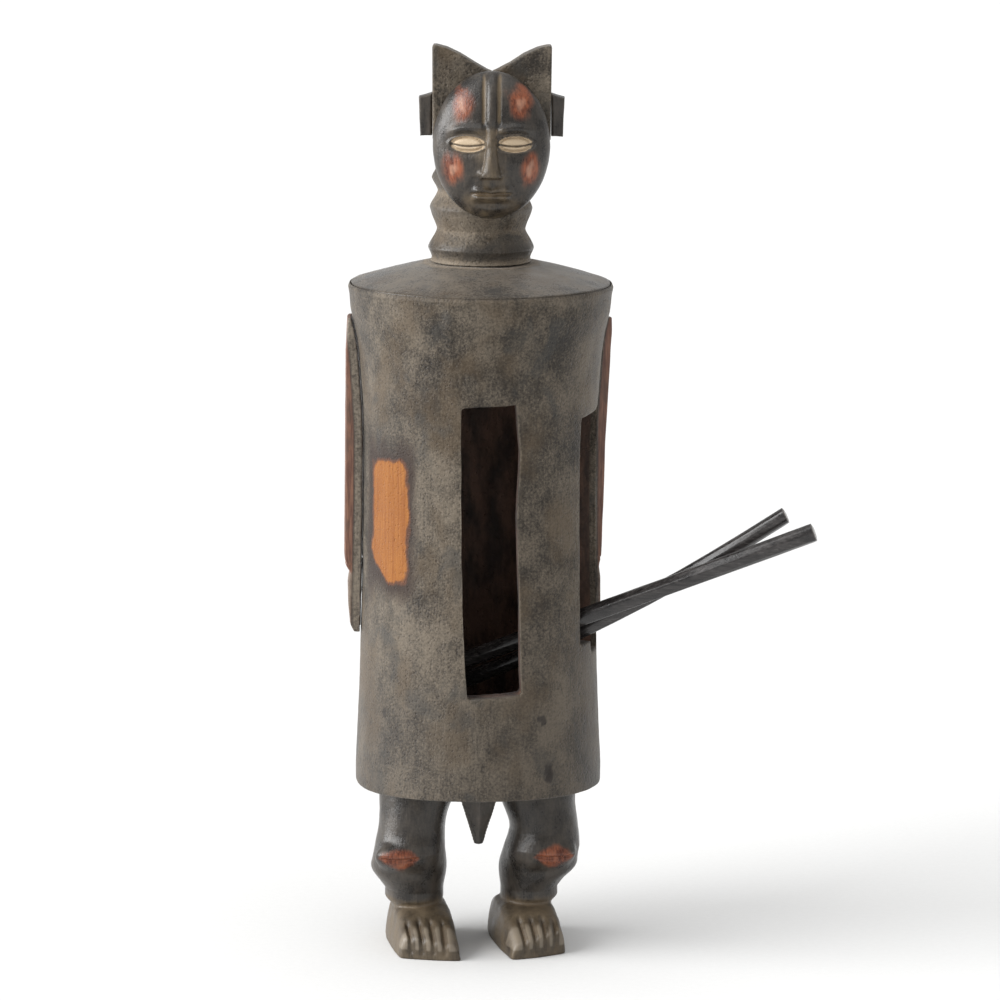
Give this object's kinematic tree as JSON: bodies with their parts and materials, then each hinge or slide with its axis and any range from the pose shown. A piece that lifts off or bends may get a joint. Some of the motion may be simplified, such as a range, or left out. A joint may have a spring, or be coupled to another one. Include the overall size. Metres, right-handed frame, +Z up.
{
  "type": "ancestor figure slit drum",
  "caption": "Carved wooden standing ancestor figure whose body is a hollow slit drum, with loose beaters stored through its side slot.",
  "frame": {"origin": "on the ground, under the middle of the whole object's box with the beaters stored in their slot", "axes": "+Z up, the figure faces -Y, and its left side, where the beaters stand out, is towards +X"},
  "size_m": [0.2804, 0.1606, 0.555],
  "materials": {
    "dusty_patina": "dark stained wood under a dry, dusty grey-brown patina, matt, finely pitted",
    "waxed_dark": "near-black stained and waxed wood with soft highlights, rubbed back to red-brown on the high places",
    "rubbed_red_brown": "stain rubbed back to red-brown wood, satin",
    "beater_black": "black stained whittled stick, waxed, satin"
  },
  "bodies": {
    "figure": {"drum_shell": "dusty_patina", "shoulder_cap": "dusty_patina", "drum_floor": "dusty_patina", "neck": "dusty_patina", "head": "waxed_dark", "right_crest": "dusty_patina", "left_crest": "dusty_patina", "right_ear": "waxed_dark", "left_ear": "waxed_dark", "right_arm": "rubbed_red_brown", "left_arm": "rubbed_red_brown", "right_leg": "waxed_dark", "left_leg": "waxed_dark", "loin_point": "waxed_dark"},
    "front_beater": {"front_beater": "beater_black"},
    "back_beater": {"back_beater": "beater_black"}
  },
  "joints": [
    {"name": "front_beater_pull", "type": "slide", "parent": "figure", "child": "front_beater", "axis": [0.9023, -0.2121, 0.3752], "range_m": [0, 0.18]},
    {"name": "back_beater_pull", "type": "slide", "parent": "figure", "child": "back_beater", "axis": [0.8651, -0.1859, 0.4659], "range_m": [0, 0.18]}
  ]
}
